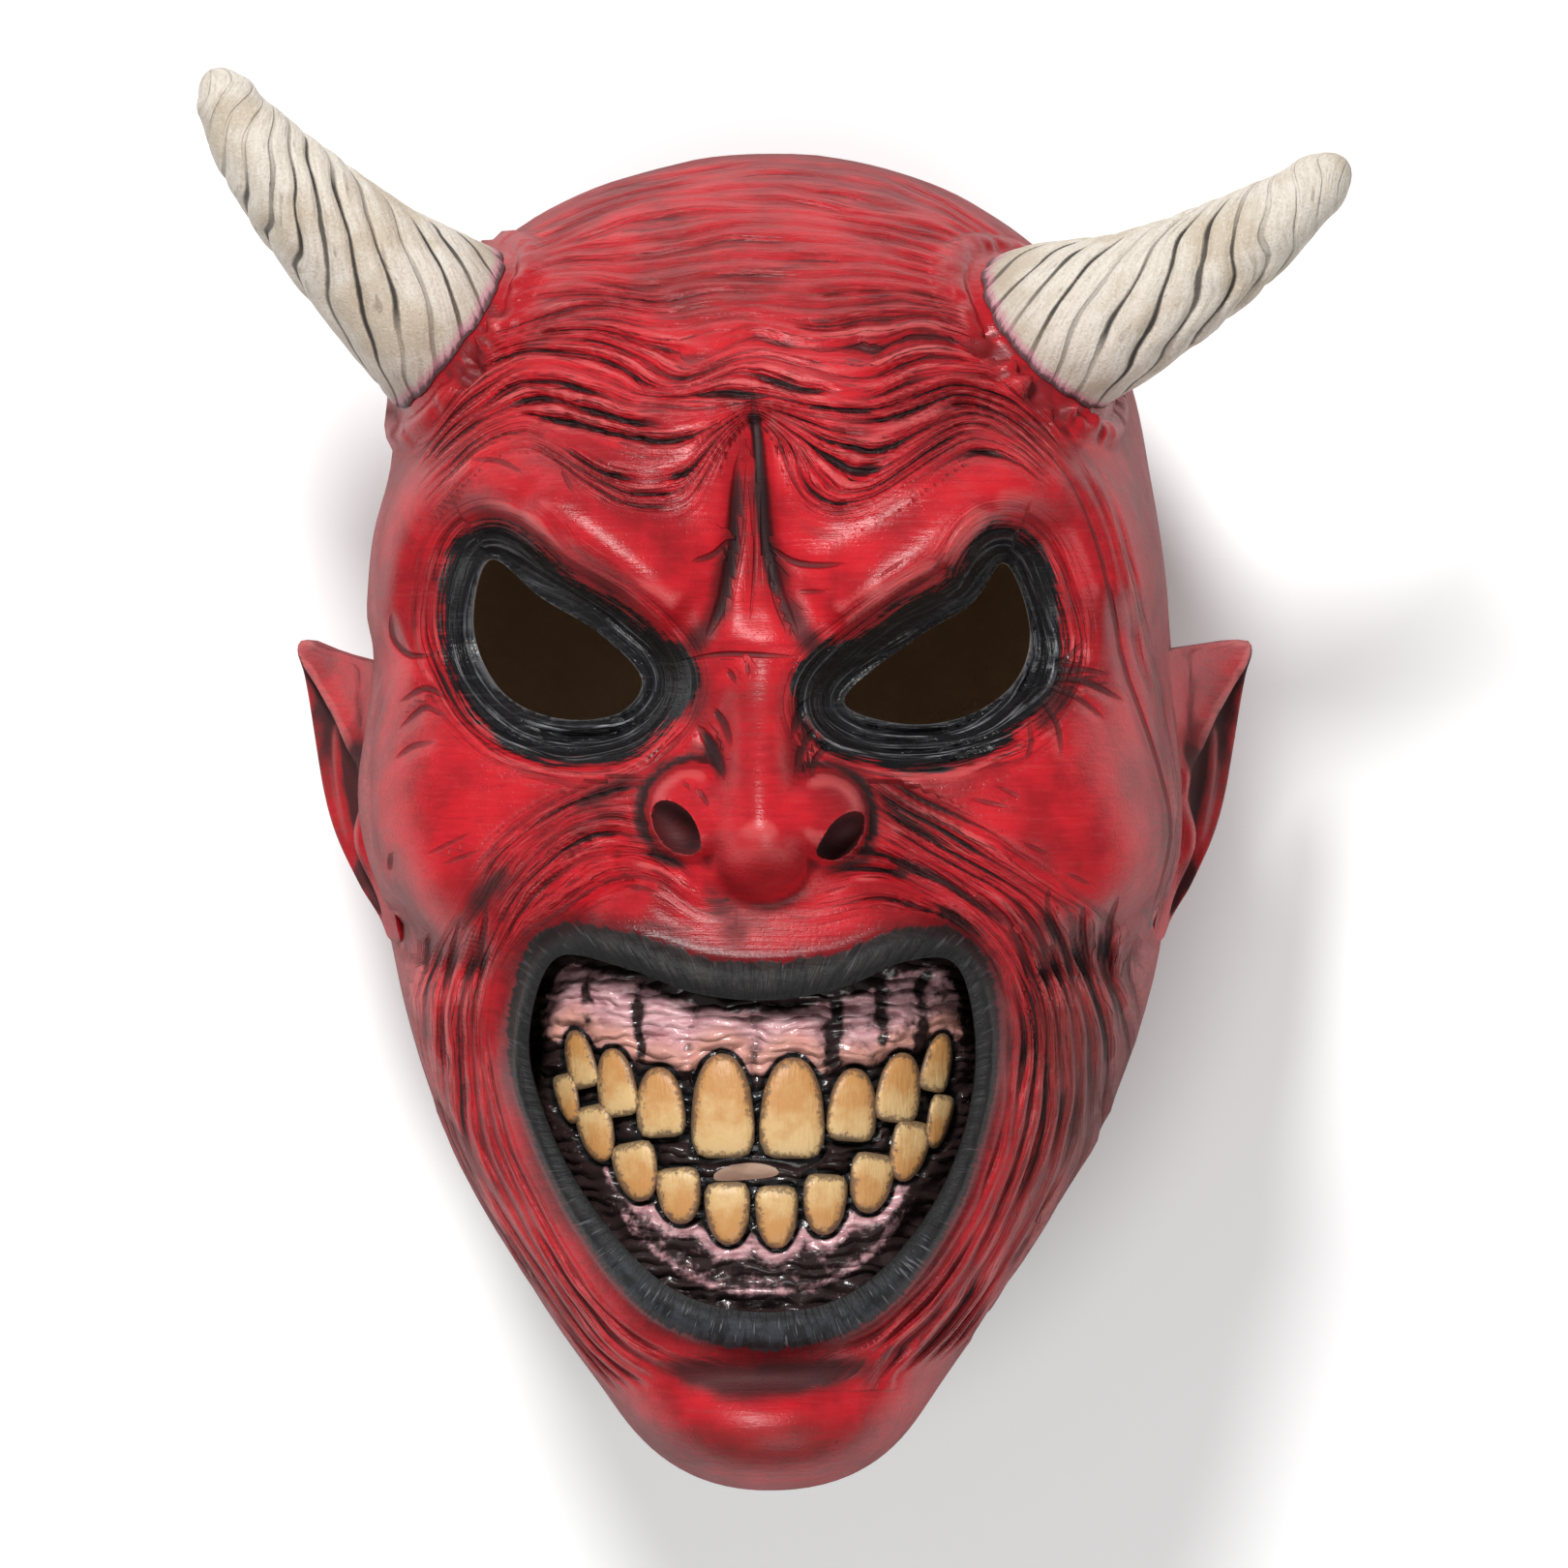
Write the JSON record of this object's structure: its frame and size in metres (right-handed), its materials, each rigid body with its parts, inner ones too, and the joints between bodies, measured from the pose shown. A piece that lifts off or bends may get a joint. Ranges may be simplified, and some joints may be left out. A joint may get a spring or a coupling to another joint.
{
  "type": "latex devil mask",
  "caption": "Hollow full-head latex mask of a grinning devil with pointed ears, open eye holes and two horns glued to the forehead, lying face up.",
  "frame": {"origin": "in the flat at the back of the head that the mask lies on, in the face's middle plane", "axes": "+Z out of the face, +Y towards the crown, +X to the right as the face is looked at"},
  "size_m": [0.2665, 0.33, 0.234],
  "materials": {
    "skin": "satin cast latex, crimson with dark paint in the wrinkles",
    "horn": "matte cast latex, bone white with grey in the grooves"
  },
  "bodies": {
    "root": {"mask_skin": "skin", "horn_left": "horn", "horn_right": "horn"}
  },
  "joints": []
}
